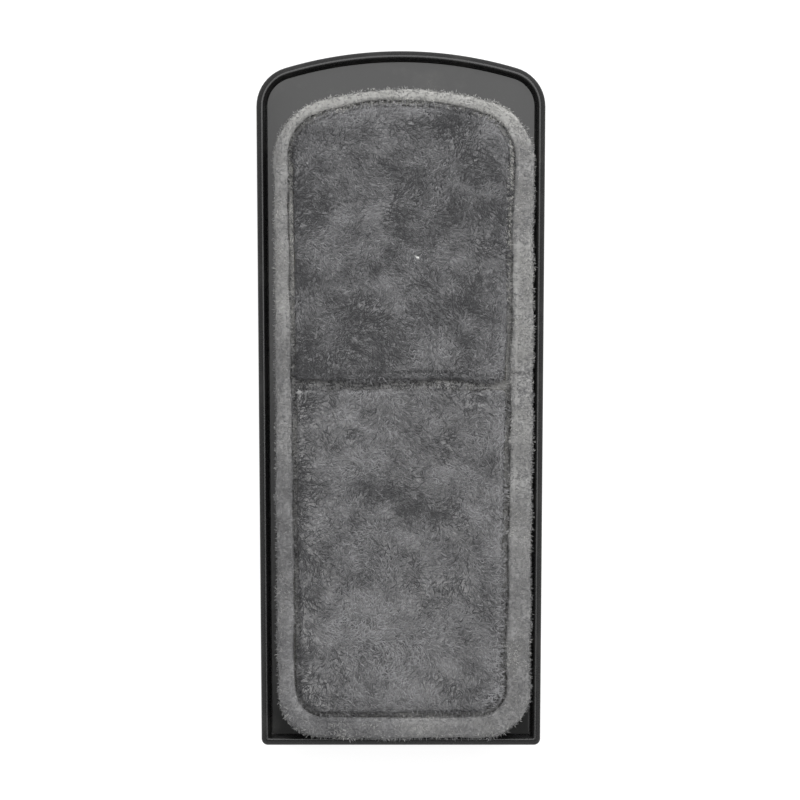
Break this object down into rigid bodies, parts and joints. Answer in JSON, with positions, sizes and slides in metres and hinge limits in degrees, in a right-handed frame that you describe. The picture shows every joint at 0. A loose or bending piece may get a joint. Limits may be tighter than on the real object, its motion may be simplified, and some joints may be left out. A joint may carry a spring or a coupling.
{
  "type": "chalkboard eraser",
  "caption": "Block eraser for a chalkboard: moulded plastic back with one arched end and a raised rim, holding a plate with a thick layered felt pad.",
  "frame": {"origin": "middle of the back, on the plane that the eraser rests on", "axes": "+Z from the back to the wiping face, +Y along the eraser to its arched end, +X across it"},
  "size_m": [0.0542, 0.13, 0.032],
  "materials": {
    "shell_plastic": "satin black moulded plastic",
    "plate_plastic": "satin black moulded plastic with a little chalk dust",
    "strip_felt": "grey wool felt, cut edge up, fuzzy and chalky",
    "panel_felt": "grey wool felt with loose swirling fibres and chalk in it",
    "ply_felt": "dark grey wool felt",
    "adhesive": "thin set layer of contact adhesive"
  },
  "bodies": {
    "root": {"back_shell": "shell_plastic", "carrier_plate": "plate_plastic", "pad_bonding_film": "adhesive", "felt_ply_inner": "ply_felt", "ply_bonding_film": "adhesive", "felt_ply_outer": "ply_felt", "strip_bonding_film": "adhesive", "felt_border_strip": "strip_felt", "arched_panel_bonding_film": "adhesive", "felt_panel_arched": "panel_felt", "square_panel_bonding_film": "adhesive", "felt_panel_square": "panel_felt"}
  },
  "joints": []
}
